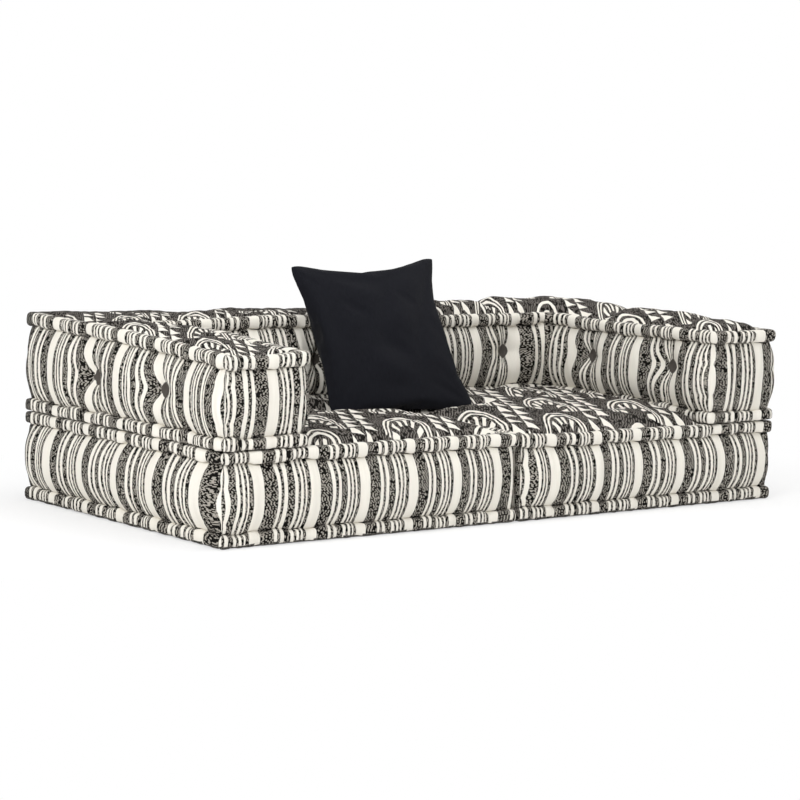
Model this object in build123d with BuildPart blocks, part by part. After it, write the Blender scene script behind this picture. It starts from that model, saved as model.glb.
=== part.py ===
# A two-module floor sofa: two square seat cushions, an L-shaped surround cushion on each, and a loose pillow.
# Row frame in mm: origin on the floor under the middle of the row, front faces -Y, +Z is up.
import os
from math import atan2, cos, degrees, radians, sin, tan

from build123d import *

# Driving sizes of the row
module_width = 1000.0
module_depth = 1000.0
module_gap = 0.6
seat_height = 255.0
surround_height = 258.0
arm_width = 275.0
back_depth = 270.0
rest_gap = 0.6

# Padded side band, edge rolls and panels
roll_height = 40.0
pad_depth = 36.0
seam_inset = 14.0
sewn_gap = 0.3
corner_radius = 40.0
inner_corner_radius = 30.0

# The stuffed outer side of a free roll, of a roll under load and of a boxing band,
# as shares of its height and of the seam's inset
free_side_shares = ((0.0, 1.0), (0.24, 0.28), (0.5, 0.0), (0.76, 0.28), (1.0, 1.0))
pressed_side_shares = ((0.0, 1.0), (0.24, 0.0), (0.76, 0.0), (1.0, 1.0))
band_side_shares = ((0.0, 1.0), (0.1, 0.0), (0.9, 0.0), (1.0, 1.0))

# Crowns of the top panels, in slopes that share their rise and their reach
seat_crown = 20.0
seat_crown_reach = 110.0
surround_crown = 20.0
surround_crown_reach = 72.0
crown_sink = 3.0
crown_margin = 12.0
slope_shares = ((0.5, 0.2), (0.34, 0.3), (0.16, 0.5))

# Tufts of the surround, where ties pull small pads into the sides
tuft_reach = 76.0
tuft_waist = 34.0
tuft_waist_depth = 14.0
tuft_depth = 30.0
tuft_overrun = 4.0
tuft_sides = 8
twine_sides = 6
pad_radius = 12.0
pad_thickness = 3.0
twine_radius = 1.5
twine_clearance = 0.3
knot_radius = 4.0
knot_height = 3.0
knot_taper = 30.0

# Places of the ties along the arms, as shares of the depth, and along the backs, of the width
left_arm_tie_shares = (0.28, 0.61)
right_arm_tie_shares = (0.15, 0.54)
back_tie_shares = (0.16, 0.53)

# Loose pillow, whose halves swell in slopes that share their rise and their reach
pillow_size = 460.0
pillow_thickness = 140.0
pillow_cloth = 3.0
pillow_draw_in = 20.0
pillow_reach = 160.0
pillow_lean = 28.0
pillow_yaw = -10.0
pillow_roll = 2.0
pillow_shift = 0.0
pillow_foot_gap = 0.5
pillow_back_gap = 1.5
pillow_turn_share = 0.222
pillow_slope_shares = ((0.42, 0.2), (0.38, 0.32), (0.2, 0.48))
pillow_side_shares = ((-1.0, 0.0), (-0.6, 0.66), (0.0, 1.0), (0.6, 0.66))

# Places worked out from the sizes above
half_gap = module_gap / 2
outer_x = half_gap + module_width
front_y = -module_depth / 2
back_y = module_depth / 2
arm_x = outer_x - arm_width
rest_y = back_y - back_depth
surround_base = seat_height + rest_gap
surround_top = surround_base + surround_height
surround_middle = surround_base + surround_height / 2
seat_band_low = roll_height + sewn_gap
seat_band_high = seat_height - roll_height - sewn_gap
surround_band_low = surround_base + roll_height + sewn_gap
surround_band_high = surround_top - roll_height - sewn_gap
panel_inset = pad_depth + sewn_gap
crown_inset = panel_inset + crown_margin
core_joint_x = arm_x - 2 * inner_corner_radius


def seat_corners(inset):
    """Corner points and radii of a right seat's outline, drawn in by an inset."""
    points = (
        (half_gap + inset, front_y + inset),
        (outer_x - inset, front_y + inset),
        (outer_x - inset, back_y - inset),
        (half_gap + inset, back_y - inset),
    )
    return points, [corner_radius - inset] * len(points)


def surround_corners(inset):
    """Corner points and radii of a right surround's L, drawn in by an inset."""
    points = (
        (arm_x + inset, front_y + inset),
        (outer_x - inset, front_y + inset),
        (outer_x - inset, back_y - inset),
        (half_gap + inset, back_y - inset),
        (half_gap + inset, rest_y + inset),
        (arm_x + inset, rest_y + inset),
    )
    radii = [corner_radius - inset] * (len(points) - 1)
    return points, radii + [inner_corner_radius + inset]


def ring(corners, low, high, side_shares):
    """A padded band round an outline: flat top, foot and back, and a swelling outer side."""
    points, radii = corners(0)
    side = [(seam_inset * inset, low + (high - low) * height) for height, inset in side_shares]
    with BuildPart() as band:
        with BuildLine() as route:
            FilletPolyline(*points, radius=radii, close=True)
        path = route.wire()
        heading = path % 0
        with BuildSketch(Plane(origin=path @ 0, x_dir=Vector(0, 0, 1).cross(heading), z_dir=heading)):
            with BuildLine():
                Polyline(*side, (pad_depth, high), (pad_depth, low), close=True)
            make_face()
        sweep(path=path)
    return band.part


def top_roll(corners, top):
    return ring(corners, top - roll_height, top, free_side_shares)


def bottom_roll(corners, low):
    """The roll that the cushion's weight presses flatter."""
    return ring(corners, low, low + roll_height, pressed_side_shares)


def plate(corners, low, high):
    """A flat pad that fills an outline inside its rolls."""
    points, radii = corners(panel_inset)
    with BuildPart() as pad:
        with BuildSketch(Plane.XY.offset(low)):
            with BuildLine():
                FilletPolyline(*points, radius=radii, close=True)
            make_face()
        extrude(amount=high - low)
    return pad.part


def crown(corners, inset, level, rise, reach):
    """The swell of a panel, in slopes of which each is flatter than the one below it."""
    low = level - crown_sink
    with BuildPart() as swell:
        for rise_share, reach_share in slope_shares:
            height = (rise + crown_sink) * rise_share
            drawn_in = reach * reach_share
            with BuildSketch(Plane.XY.offset(low)):
                Polygon(*corners(inset)[0], align=None)
            extrude(amount=height, taper=degrees(atan2(drawn_in, height)))
            low += height
            inset += drawn_in
    return swell.part


def open_seat_corners(inset):
    """The corners of the seat in front of the surround, drawn in by an inset."""
    left, right = half_gap + panel_inset + inset, arm_x - inset
    front, back = front_y + panel_inset + inset, rest_y - inset
    return ((left, front), (right, front), (right, back), (left, back)), []


def to_side(part, side):
    """The pieces are drawn for the right module, and mirrored for the left."""
    return part if side == "right" else mirror(part, about=Plane.YZ)


def seat_top_panel():
    with BuildPart() as panel:
        add(plate(seat_corners, seat_height - roll_height, seat_height))
        add(crown(open_seat_corners, crown_margin, seat_height, seat_crown, seat_crown_reach))
    return panel.part


def surround_top_panel():
    with BuildPart() as panel:
        add(plate(surround_corners, surround_top - roll_height, surround_top))
        add(crown(surround_corners, crown_inset, surround_top, surround_crown, surround_crown_reach))
    return panel.part


def surround_ties(arm_shares):
    """Each tie as its middle, its direction and half the cushion's thickness there."""
    ties = []
    for share in arm_shares:
        middle = Vector(outer_x - arm_width / 2, front_y + share * module_depth, surround_middle)
        ties.append((middle, Vector(1, 0, 0), arm_width / 2))
    for share in back_tie_shares:
        middle = Vector(half_gap + share * module_width, back_y - back_depth / 2, surround_middle)
        ties.append((middle, Vector(0, 1, 0), back_depth / 2))
    return ties


def tuft_planes(ties):
    """A plane at each end of each tie, facing into the cushion."""
    planes = []
    for middle, heading, half in ties:
        planes.append(Plane(origin=middle - heading * half, z_dir=heading))
        planes.append(Plane(origin=middle + heading * half, z_dir=-heading))
    return planes


def twine_way(plane, depth):
    """The room that a tie's twine takes through a piece."""
    with BuildPart() as way:
        with BuildSketch(plane):
            RegularPolygon(twine_radius + twine_clearance, twine_sides)
        extrude(amount=depth)
    return way.part


def tuft_funnel():
    """What a tie draws in at the cushion's side, with the way of its twine."""
    steps = ((-tuft_overrun, tuft_reach), (tuft_waist_depth, tuft_waist), (tuft_depth, pad_radius + sewn_gap))
    with BuildPart() as funnel:
        for (start, wide), (end, narrow) in zip(steps, steps[1:]):
            with BuildSketch(Plane.XY.offset(start)):
                RegularPolygon(wide, tuft_sides, major_radius=False)
            extrude(amount=end - start, taper=degrees(atan2(wide - narrow, end - start)))
        add(twine_way(Plane.XY, pad_depth + tuft_overrun))
    return funnel.part


def surround_boxing(ties):
    """The tall band, with a funnel drawn in at each end of each tie."""
    with BuildPart() as boxing:
        add(ring(surround_corners, surround_band_low, surround_band_high, band_side_shares))
        with Locations(*tuft_planes(ties)):
            add(tuft_funnel(), mode=Mode.SUBTRACT)
    return boxing.part


def surround_cores(ties):
    """The two foam blocks of a surround, joined beside the arm, with the ties' holes."""
    blocks = []
    for keep, offset in ((Keep.TOP, sewn_gap / 2), (Keep.BOTTOM, -sewn_gap / 2)):
        with BuildPart() as block:
            add(plate(surround_corners, surround_band_low, surround_band_high))
            split(bisect_by=Plane.YZ.offset(core_joint_x + offset), keep=keep)
            for middle, heading, half in ties:
                side_plane = Plane(origin=middle - heading * half, z_dir=heading)
                add(twine_way(side_plane, 2 * half), mode=Mode.SUBTRACT)
        blocks.append(block.part)
    return blocks


def tuft_pads(ties):
    with BuildPart() as pads:
        for plane in tuft_planes(ties):
            with BuildSketch(plane.offset(tuft_depth - sewn_gap)):
                RegularPolygon(pad_radius, tuft_sides, major_radius=False)
                RegularPolygon(twine_radius + twine_clearance, twine_sides, mode=Mode.SUBTRACT)
            extrude(amount=-pad_thickness)
    return pads.part


def tuft_twines(ties):
    """A tie is a straight twine with a knot outside each pad."""
    with BuildPart() as twines:
        for middle, heading, half in ties:
            neck = half - tuft_depth + pad_thickness + 2 * sewn_gap
            with BuildSketch(Plane(origin=middle - heading * neck, z_dir=heading)):
                RegularPolygon(twine_radius, twine_sides)
            extrude(amount=2 * neck)
            for facing in (heading, -heading):
                with BuildSketch(Plane(origin=middle + facing * neck, z_dir=facing)):
                    RegularPolygon(knot_radius, twine_sides)
                extrude(amount=knot_height, taper=knot_taper)
    return twines.part


def pillow_place():
    """The plane in the middle of the leaning pillow, facing the front."""
    lean, yaw, roll = radians(pillow_lean), radians(pillow_yaw), radians(pillow_roll)
    across = Vector(cos(yaw), sin(yaw), 0)
    facing = Vector(sin(yaw), -cos(yaw), 0)
    up = Vector(0, 0, 1) * cos(lean) - facing * sin(lean)
    foot = seat_height + seat_crown + pillow_foot_gap
    height = foot + pillow_size / 2 * cos(lean) * (cos(roll) + sin(roll))
    roll_middle = surround_top - roll_height / 2
    turn = pillow_size / 2 * pillow_turn_share * abs(sin(yaw))
    reach = (pillow_thickness / 2) / cos(lean) + turn + (roll_middle - height) * tan(lean)
    return Plane(
        origin=(pillow_shift, rest_y - pillow_back_gap - reach, height),
        x_dir=across * cos(roll) + up * sin(roll),
        z_dir=across.cross(up),
    )


def pillow_outline(size, level):
    """A square whose sides are drawn in towards their middles."""
    half = size / 2
    side = [Vector(along * half, pillow_draw_in * drawn - half) for along, drawn in pillow_side_shares]
    with BuildSketch(Plane.XY.offset(level)) as outline:
        Polygon(*[point.rotate(Axis.Z, turn) for turn in (0, 90, 180, 270) for point in side], align=None)
    return outline.sketch


def pillow_half(inset):
    """The front half of the pillow lying flat, or what is inside it at an inset."""
    with BuildPart() as half:
        top = pillow_outline(pillow_size - 2 * inset, sewn_gap / 2)
        for rise_share, reach_share in pillow_slope_shares:
            height = (pillow_thickness / 2 - inset) * rise_share
            extrude(top, amount=height, taper=degrees(atan2(pillow_reach * reach_share, height)))
            top = half.faces().sort_by(Axis.Z)[-1]
    return half.part


def pillow_cover():
    """The front cover, a shell of cloth."""
    with BuildPart() as cover:
        add(pillow_half(0))
        add(pillow_half(pillow_cloth), mode=Mode.SUBTRACT)
    return cover.part


def pillow_insert():
    inset = pillow_cloth + sewn_gap
    with BuildPart() as insert:
        add(pillow_half(inset))
        add(mirror(pillow_half(inset), about=Plane.XY, mode=Mode.PRIVATE))
        extrude(pillow_outline(pillow_size - 2 * inset, -sewn_gap / 2), amount=sewn_gap)
    return insert.part


def save(name, part):
    part.label = name
    export_step(part, f"parts/{name}.step")


os.makedirs("parts", exist_ok=True)

for side, arm_shares in (("left", left_arm_tie_shares), ("right", right_arm_tie_shares)):
    ties = surround_ties(arm_shares)
    arm_core, back_core = surround_cores(ties)
    pieces = {
        f"seat_{side}_bottom_roll": bottom_roll(seat_corners, 0),
        f"seat_{side}_boxing": ring(seat_corners, seat_band_low, seat_band_high, band_side_shares),
        f"seat_{side}_top_roll": top_roll(seat_corners, seat_height),
        f"seat_{side}_bottom_panel": plate(seat_corners, 0, roll_height),
        f"seat_{side}_core": plate(seat_corners, seat_band_low, seat_band_high),
        f"seat_{side}_top_panel": seat_top_panel(),
        f"surround_{side}_bottom_roll": bottom_roll(surround_corners, surround_base),
        f"surround_{side}_boxing": surround_boxing(ties),
        f"surround_{side}_top_roll": top_roll(surround_corners, surround_top),
        f"surround_{side}_bottom_panel": plate(surround_corners, surround_base, surround_base + roll_height),
        f"surround_{side}_arm_core": arm_core,
        f"surround_{side}_back_core": back_core,
        f"surround_{side}_top_panel": surround_top_panel(),
        f"surround_{side}_tuft_pads": tuft_pads(ties),
        f"surround_{side}_tuft_twines": tuft_twines(ties),
    }
    for name, piece in pieces.items():
        save(name, to_side(piece, side))

place = pillow_place().location
front_cover = pillow_cover()
save("pillow_front_cover", place * front_cover)
save("pillow_back_cover", place * mirror(front_cover, about=Plane.XY))
save("pillow_insert", place * pillow_insert())
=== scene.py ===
from math import atan2, cos, pi, radians, sin, tan, tau

import bpy
import numpy as np
from mathutils import Matrix, Vector


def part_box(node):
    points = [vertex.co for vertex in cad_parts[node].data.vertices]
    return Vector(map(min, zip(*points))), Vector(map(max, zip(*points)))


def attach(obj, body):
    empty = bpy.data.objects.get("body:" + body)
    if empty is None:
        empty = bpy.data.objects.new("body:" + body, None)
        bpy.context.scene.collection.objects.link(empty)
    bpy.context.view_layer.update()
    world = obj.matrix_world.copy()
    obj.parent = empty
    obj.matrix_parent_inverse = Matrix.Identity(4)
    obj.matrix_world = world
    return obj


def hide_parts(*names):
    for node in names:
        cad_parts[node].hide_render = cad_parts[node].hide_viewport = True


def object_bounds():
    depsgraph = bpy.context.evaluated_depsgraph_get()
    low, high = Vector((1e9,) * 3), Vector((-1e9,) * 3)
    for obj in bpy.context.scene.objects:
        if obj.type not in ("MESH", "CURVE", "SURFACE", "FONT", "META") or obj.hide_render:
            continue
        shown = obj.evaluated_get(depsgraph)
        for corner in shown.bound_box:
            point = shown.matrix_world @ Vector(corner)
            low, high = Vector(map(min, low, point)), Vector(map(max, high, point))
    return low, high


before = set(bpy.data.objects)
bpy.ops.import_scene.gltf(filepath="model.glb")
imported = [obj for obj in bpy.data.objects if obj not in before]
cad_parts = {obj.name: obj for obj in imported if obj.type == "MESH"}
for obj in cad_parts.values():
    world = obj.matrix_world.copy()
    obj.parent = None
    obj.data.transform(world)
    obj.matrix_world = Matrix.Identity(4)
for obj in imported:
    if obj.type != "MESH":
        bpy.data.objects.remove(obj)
cad_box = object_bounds()
LEFT_END, FRONT = cad_box[0][0], cad_box[0][1]
TINY = 1e-6

# Outlines of the cushions
CORNER_RADIUS = 0.014
INNER_CORNER_RADIUS = 0.03
ARM_WIDTH = 0.275
BACK_DEPTH = 0.27

# Steps of the meshes
RING_SPACING = 0.0065
PANEL_SPACING = 0.0075
UNDERSIDE_SPACING = 3 * PANEL_SPACING
BAND_ROWS = 24
ROLL_STEPS = 16

# How far each module's cloth stays off its packed edge at the split, and may stand out of it elsewhere
SPLIT_GAP = 0.007
PROUD_X = 0.028
PROUD_FRONT = 0.024
PROUD_REAR = 0.014

# Rolls: their size, how round they are where free and where pressed, and how far one rises over a seat's top
ROLL_WIDTH = 0.04
ROLL_HEIGHT = 0.041
PRESSED_ROLL_HEIGHT = 0.036
ROLL_ROUNDNESS = 0.66
PRESSED_ROUNDNESS = 0.5
PRESSED_EDGE = 0.03
ROLL_GIRTH = 0.02
ROLL_RISE = 0.002

# How far the rolls' corners stand out, and how far that reaches along the outline
EAR = 0.003
EAR_REACH = 0.03

# Stitches: their pitch and uneven steps, and how sharply the cloth dips at them
STITCH_PITCH = 0.075
STITCH_STEPS = (0.6, 1.45)
INNER_STITCH_SHIFT = 0.4 * STITCH_PITCH
BAND_SHARPNESS = 0.5
TOP_SHARPNESS = 0.5
SCALLOP_SHARPNESS = 0.6
ROLL_SHARPNESS = 0.45
ROLL_PINCH = 0.005
SEAM_SIDE_PINCH = 1.6
SEAM_INSET = 0.013
SEAM_SCALLOP = 0.006
STITCH_PULL = 0.011
STITCH_REACH = 0.024

# Stuffed sides: how far and how squarely they swell, and how deep their hidden back lies
BAND_BULGES = {"seat": 0.032, "surround": 0.031}
BAND_ROUNDNESS = 2.4
BAND_BACK = 0.05

# How soon the sides' folds set in from the seams, and how much their rows crowd there
BAND_CALM = 1.4
BAND_EASE = 0.7

# Shares of the swelling that front and rear faces lack, and the front ends of the arms besides
FRONT_LOSS = 0.12
ARM_END_LOSS = 0.4
ARM_END = 0.05
FACING_STEP = 0.002

# Folds of the sides: over the face, fine ones there, fine ones by the seams, and both kinds at the corners
FOLD_DEPTH = 0.0021
FINE_DEPTH = 0.0009
SEAM_FINE_DEPTH = 0.0018
CORNER_FOLD_DEPTH = 0.0022
CORNER_FINE_DEPTH = 0.0008

# Corners of the sides: how far they are drawn in by the split and elsewhere, their puckers and their seam
SPLIT_CORNER_DRAWN = 0.75
CORNER_DRAWN = 0.25
CORNER_REACH = 0.05
PUCKER_PITCH = 0.095
PUCKER_STRETCH = 0.1
PUCKER_STARTS = (0.3, 0.37)
PUCKER_DEPTH = 0.0075
PUCKER_REACH = 0.026
CORNER_SEAM_DEPTH = 0.004
CORNER_SEAM_REACH = 0.014

# Pads of the tops and the undersides: how far in they start, how deep they are, and how far off the floor
PANEL_TUCK = 0.02
PANEL_DEPTH = 0.026
UNDERSIDE_DEPTH = 0.028
UNDERSIDE_LIFT = 0.0003

# Steps of the search for the nearest edge, places searched at a time, and rounds of the swelling
EDGE_STEP = 0.008
EDGE_BATCH = 4000
INFLATE_ROUNDS = 600

# Crowns of the tops: height, how flat a seat's and how full a surround's is, and how soon its dimples set in
SEAT_CROWN = 0.032
SEAT_SPRING = 0.994
SURROUND_CROWNS = {"left": 0.008, "right": 0.042}
SURROUND_FULLNESS = 0.75
SOFT_EDGE = 3

# Sewn edges of the tops as (depth, reach), and the valleys that the ties draw across
GROOVES = {"seat": (0.014, 0.01), "surround": (0.013, 0.009)}
GROOVE_SHIFT = 0.004
TOP_PUCKER = (0.006, 0.03)
VALLEY_WIDTH = 0.035
VALLEY_SHARE = 0.8

# Where a surround stands on a seat: how low the seat lies there, and over what distance it rises beside it
SEAT_SUNK = 0.003
SEAT_WELL = 0.014
WELL_ROUNDNESS = 0.6

# How far the seats' tops lie under their flat, more at the right seat's front
SAG = 0.0035
FRONT_SAG = 0.011
FRONT_SAG_REACH = 0.3
FRONT_SAG_START = 0.05
FRONT_SAG_EDGE = 0.04

# How far plain cloth reaches: from the rear round the corners and over the left top, and up from the foot
PLAIN_REAR = 0.026
PLAIN_TOP = 0.13
FOOT_EDGE = 0.005

# Tufts: their depth, the shares and reaches of their dish, how much higher inner ones lie, and their patches
TUFT_DEPTH = 0.042
TUFT_DISH = ((0.36, 0.026), (0.38, 0.05), (0.26, 0.1))
TUFT_LIFT = 0.01
PATCH_HALF = 0.019
PATCH_STEPS = 13
PATCH_BOW = 0.2
PATCH_ACROSS, PATCH_UP = 1.5, 1.3
PATCH_LIFT = 0.0034
PATCH_RIM_SUNK = 0.001
PATCH_BACK = 0.002

# Creases that run out from a tuft: heading in degrees, strength and reach
TUFT_CREASES = (
    (90, 1.0, 0.06), (-90, 1.0, 0.06), (0, 0.8, 0.04), (180, 0.8, 0.04),
    (48, 0.6, 0.03), (132, 0.6, 0.03), (-48, 0.6, 0.03), (-132, 0.6, 0.03),
)
CREASE_DEPTH = 0.0075
CREASE_SEED = 60
CREASE_STRAY = 9
CREASE_WIDTH, CREASE_WIDENING = 0.004, 0.11
CREASE_START, CREASE_FADE = 0.018, 1.2

# Places of the ties, as shares of the depth along the arms and of the width along the backs
ARM_TIES = {"left": (0.292, 0.633), "right": (0.175, 0.533)}
BACK_TIES = (0.16, 0.56)

# Cloth drawn in at a tuft, before it and past it: how much, over what distance along, and how high
TUFT_GATHER = (0.034, 0.012)
TUFT_SPREAD = (0.095, 0.04)
TUFT_LEVEL = 0.046
GATHER_WIDTH, GATHER_WIDENING = 0.008, 0.5

# Cloth gathered at a corner
CORNER_GATHER = 0.008
CORNER_GATHER_EVEN = 0.5
CORNER_GATHER_SHARPNESS = 0.7
CORNER_GATHER_WIDTH = 0.006
CORNER_GATHER_REACH = 0.045
CORNER_SHIFT_REACH = 0.055

# Waves of uneven cloth: height, seed, how many, shortest, longest, and how far they slant.
# Their sum is scaled by the peak that it seldom passes.
WAVE_PEAK = 1.6
SAG_WAVES = (0.003, 5, 6, 0.35, 0.9, 1.2)
TOP_WAVES = (0.004, 30, 6, 0.3, 0.8, 1.2)
TOP_DIMPLES = {"seat": (0.0035, 40, 10, 0.12, 0.35, 1.5), "surround": (0.0035, 40, 10, 0.08, 0.25, 1.5)}
TOP_CREASES = {"seat": (0.0013, 41, 14, 0.03, 0.09, 1.5), "surround": (0.0014, 41, 14, 0.03, 0.08, 1.5)}
PRINT_WAVES = (0.003, 42, 6, 0.1, 0.3, 1.5)
STUFFING_WAVES = (0.13, 3, 6, 0.25, 0.7, 2.0)
FOLD_WAVES = (1.0, 4, 12, 0.05, 0.16, 6.0)
FINE_WAVES = (1.0, 5, 12, 0.02, 0.05, 18.0)
STRIPE_WAVES = (0.003, 20, 6, 0.3, 0.9, 3.0)
STRIPE_TREMBLE = (0.0008, 21, 9, 0.04, 0.1, 45.0)
ROLL_WAVES = (0.002, 31, 8, 0.07, 0.3, 0.0)
ROLL_WOBBLE = (0.0007, 9, 10, 0.03, 0.09, 60.0)
ROLL_DRIFT = (1.0, 10, 6, 0.2, 0.6, 0.0)
ROLL_DRIFT_OUT, ROLL_DRIFT_UP = 0.0015, 0.0007
PRESSED_WAVE = 1.5
PILLOW_WAVES = (0.3, 71, 8, 0.4, 1.1, 1.5)


# Outlines
def unit(v):
    return v / np.hypot(*v)


def make_path(corners, radii):
    """The arcs and runs of a counterclockwise outline, and its length."""
    points = [np.array(c, float) for c in corners]
    turns = []
    neighbours = zip(points[-1:] + points[:-1], points, points[1:] + points[:1], radii)
    for before, corner, after, radius in neighbours:
        way_in, way_out = unit(corner - before), unit(after - corner)
        turn = atan2(way_in[0] * way_out[1] - way_in[1] * way_out[0], way_in @ way_out)
        setback = radius * tan(abs(turn) / 2)
        turns.append((corner - way_in * setback, corner + way_out * setback, way_in, turn, radius))
    pieces, start = [], 0.0
    for (entry, leave, way_in, turn, radius), following in zip(turns, turns[1:] + turns[:1]):
        pieces.append((start, radius * abs(turn), entry, way_in, turn, radius, radius))
        start += radius * abs(turn)
        run = following[0] - leave
        ends = [radius if turn > 0 else np.inf, following[4] if following[3] > 0 else np.inf]
        pieces.append((start, np.hypot(*run), leave, unit(run), 0.0, *ends))
        start += np.hypot(*run)
    return pieces, start


def along(path, s, inset=0.0):
    """Places at each way s along an outline, drawn in by its inset there."""
    s, inset = np.broadcast_arrays(s % path[1], inset)
    places = np.zeros((2,) + s.shape)
    starts = np.array([piece[0] for piece in path[0]])
    which = np.searchsorted(starts, s, side="right") - 1
    for number, (start, length, entry, way, turn, radius, end_radius) in enumerate(path[0]):
        here = which == number
        way_on, depth = s[here] - start, inset[here]
        entry, way, out = entry[:, None], way[:, None], np.array([[way[1]], [-way[0]]])
        if turn > 0:
            angle = turn * way_on / length
            reach, past = np.maximum(radius - depth, 0), np.maximum(depth - radius, 0)
            swing = out * np.cos(angle) + way * np.sin(angle)
            places[:, here] = entry - out * radius + reach * swing - past * (out + way)
        elif turn < 0:
            angle = -turn * way_on / length
            swing = out * np.cos(angle) - way * np.sin(angle)
            places[:, here] = entry + out * radius - (radius + depth) * swing
        else:
            first, last = np.maximum(depth - radius, 0), np.maximum(depth - end_radius, 0)
            way_on = first + way_on * (1 - (first + last) / length)
            places[:, here] = entry + way * way_on - out * depth
    return places


def find_way(path, x, y, step=0.001):
    """The way along an outline nearest to a place."""
    ways = np.arange(0, path[1], step)
    edge_x, edge_y = along(path, ways)
    return ways[np.hypot(edge_x - x, edge_y - y).argmin()]


def past_way(s, middle, length):
    """How far each way is past a middle one, the shorter way round."""
    return (s - middle + length / 2) % length - length / 2


def corner_ways(path):
    return [start + length / 2 for start, length, _, _, turn, _, _ in path[0] if turn > 0]


# Uneven cloth
def wave_sum(kind, seed, wave):
    """A smooth random field: a sum of waves, each of its own length, slant and start."""
    height, number, count, shortest, longest, slant = kind
    rng = np.random.default_rng(seed + number)
    total = 0.0
    for _ in range(count):
        phase = wave(rng.uniform(shortest, longest), rng.normal(0, slant))
        total = total + np.sin(phase + rng.uniform(0, tau))
    return height * total / np.sqrt(count / 2) / WAVE_PEAK


def waves(a, b, kind, seed=0):
    """Random waves on two coordinates, mostly along the first."""
    def wave(length, turn):
        return tau / length * (a * cos(turn) + b * sin(turn))

    return wave_sum(kind, seed, wave)


def stitch_places(length, seed):
    rng = np.random.default_rng(seed)
    steps = rng.uniform(*STITCH_STEPS, round(length / STITCH_PITCH))
    return np.cumsum(steps) * length / steps.sum()


def bell(away, reach, power=2):
    """1 in the middle, falling to nothing over a reach."""
    return np.exp(-(np.abs(away) / reach) ** power)


def sag(x, y):
    """How far the seats' tops lie under their flat, which the surrounds follow."""
    right_front = bell(y - FRONT, FRONT_SAG_REACH) / (1 + np.exp(-(x - FRONT_SAG_START) / FRONT_SAG_EDGE))
    return -SAG + waves(x, y, SAG_WAVES) - FRONT_SAG * right_front


def squared(wave, roundness):
    """A sine or cosine drawn out towards a square."""
    return np.sign(wave) * np.abs(wave) ** roundness


# Mesh making
def new_object(name, data):
    piece = bpy.data.objects.new(name, data)
    bpy.context.scene.collection.objects.link(piece)
    return piece


def square_grid(steps):
    """A square grid from -1 to 1, and which of its points lie on the rim."""
    a, b = np.meshgrid(np.linspace(-1, 1, steps), np.linspace(-1, 1, steps), indexing="ij")
    return a, b, np.maximum(np.abs(a), np.abs(b)) > 1 - TINY


def grid_quads(rows, columns):
    """The faces of a grid whose points are numbered row by row."""
    i, j = np.meshgrid(np.arange(rows - 1), np.arange(columns - 1), indexing="ij")
    number = (i * columns + j).ravel()
    return np.stack((number, number + columns, number + columns + 1, number + 1), 1)


def new_piece(name, places, faces, cloth, material, body):
    """A mesh object with its cloth coordinates at each face corner."""
    mesh = bpy.data.meshes.new(name)
    mesh.vertices.add(len(places))
    mesh.vertices.foreach_set("co", np.ascontiguousarray(places, np.float32).ravel())
    loops = np.concatenate([np.asarray(f).ravel() for f in faces])
    sizes = np.concatenate([np.full(len(f), np.asarray(f).shape[1]) for f in faces])
    mesh.loops.add(len(loops))
    mesh.loops.foreach_set("vertex_index", loops.astype(np.int32))
    mesh.polygons.add(len(sizes))
    mesh.polygons.foreach_set("loop_start", (np.cumsum(sizes) - sizes).astype(np.int32))
    mesh.update(calc_edges=True)
    mesh.validate()
    attribute = mesh.attributes.new("cloth", "FLOAT_VECTOR", "CORNER")
    attribute.data.foreach_set("vector", np.ascontiguousarray(cloth, np.float32).ravel())
    mesh.shade_smooth()
    piece = new_object(name, mesh)
    mesh.materials.append(material)
    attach(piece, body)
    return piece


def ring_piece(name, cushion, inset, height, u, v):
    """A closed band round an outline, from the inset and height of each point of its closed profile."""
    count, steps = inset.shape
    x, y = cushion.place(cushion.s[:, None], inset)
    places = np.stack((x, y, height), 2).reshape(-1, 3)
    i, j = np.meshgrid(np.arange(count), np.arange(steps), indexing="ij")
    after, above = (i + 1) % count, (j + 1) % steps
    corners = (i * steps + j, after * steps + j, after * steps + above, i * steps + above)
    quads = np.stack(corners, -1).reshape(-1, 4)
    u_on = np.concatenate((u, u[:1] + cushion.whole_turn))
    u_on = np.concatenate((u_on, u_on[:, :1]), 1)
    v_on = np.concatenate((v, v[:1]))
    v_on = np.concatenate((v_on, 2 * v_on[:, -1:] - v_on[:, -2:-1]), 1)
    plain_rows = np.maximum(cushion.plain[:, None], height < FOOT_EDGE)
    cloth = np.stack([
        np.stack((u_on[a:a + count, b:b + steps], v_on[a:a + count, b:b + steps], plain_rows), -1)
        for a, b in ((0, 0), (1, 0), (1, 1), (0, 1))
    ], 2).reshape(-1, 3)
    return new_piece(name, places, [quads], cloth, striped, cushion.name)


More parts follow.
